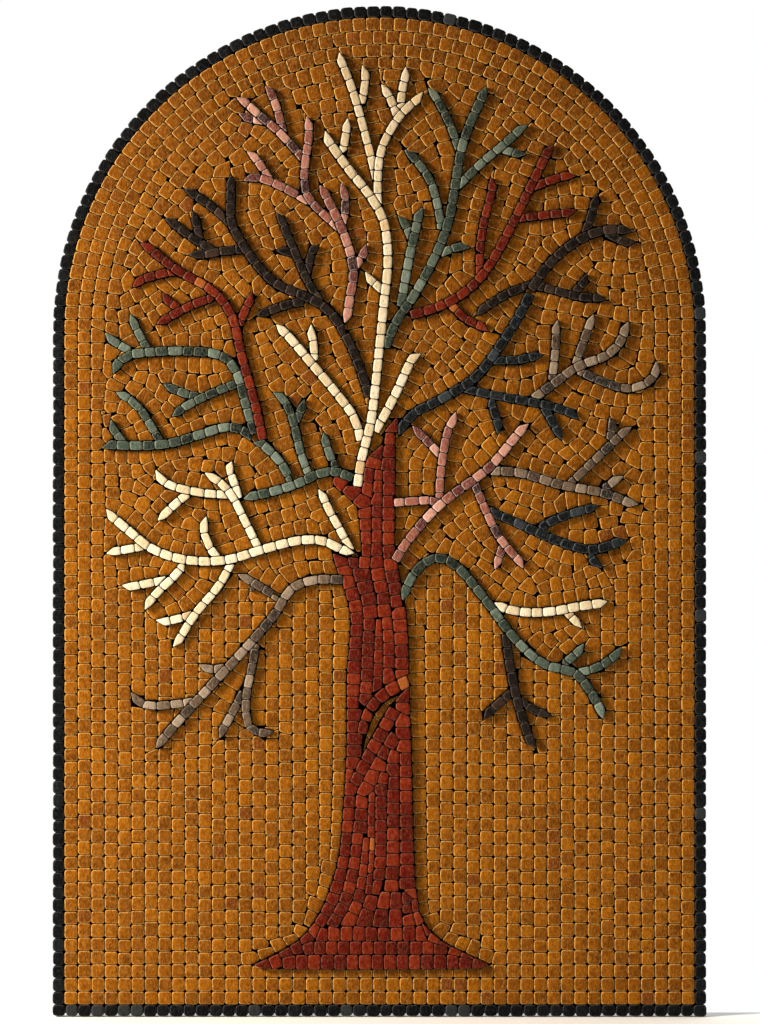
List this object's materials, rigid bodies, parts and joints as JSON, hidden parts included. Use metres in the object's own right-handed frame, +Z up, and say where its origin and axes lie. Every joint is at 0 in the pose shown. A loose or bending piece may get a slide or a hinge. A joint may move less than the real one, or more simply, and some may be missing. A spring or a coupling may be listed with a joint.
{
  "type": "mosaic panel",
  "caption": "Arched wall panel of hand-cut tumbled marble: black border, ochre field and a raised bare tree with a red trunk and limbs in many colours.",
  "frame": {"origin": "the middle of the flat back, halfway up the panel and halfway across", "axes": "+X to the right as the picture is seen, +Z up to the top of the arch, and the picture faces -Y, so +Y points out of the back to the wall"},
  "size_m": [0.61, 0.0153, 0.9424],
  "materials": {
    "mesh_bed": "matt dark adhesive over glass-fibre mesh",
    "ochre_marble": "tumbled ochre marble, honed satin with worn pale edges",
    "black_marble": "tumbled blue-black marble, honed satin with grey edges",
    "brown_marble": "tumbled brown-black marble, honed satin",
    "red_marble": "tumbled iron-red marble, honed satin",
    "cream_marble": "tumbled cream marble, honed satin",
    "pink_marble": "tumbled dusty pink marble, honed satin",
    "green_marble": "tumbled grey-green marble, honed satin",
    "taupe_marble": "tumbled taupe marble, honed satin"
  },
  "bodies": {
    "root": {"backing_bed": "mesh_bed", "border_row": "black_marble", "ochre_field": "ochre_marble", "trunk": "red_marble", "crown_cream_limb": "cream_marble", "cream_left_limb": "cream_marble", "cream_right_limb": "cream_marble", "crown_pink_limb": "pink_marble", "upper_left_brown_limb": "brown_marble", "left_red_limb": "red_marble", "left_green_upper_limb": "green_marble", "left_green_lower_limb": "green_marble", "left_green_middle_limb": "green_marble", "left_cream_limb": "cream_marble", "left_taupe_limb": "taupe_marble", "crown_green_limb": "green_marble", "crown_green_inner_limb": "green_marble", "right_red_limb": "red_marble", "right_brown_limb": "brown_marble", "right_black_limb": "black_marble", "right_taupe_upper_limb": "taupe_marble", "right_pink_limb": "pink_marble", "right_taupe_middle_limb": "taupe_marble", "right_black_lower_limb": "black_marble", "right_green_limb": "green_marble", "right_cream_limb": "cream_marble", "right_brown_lower_limb": "brown_marble"}
  },
  "joints": []
}
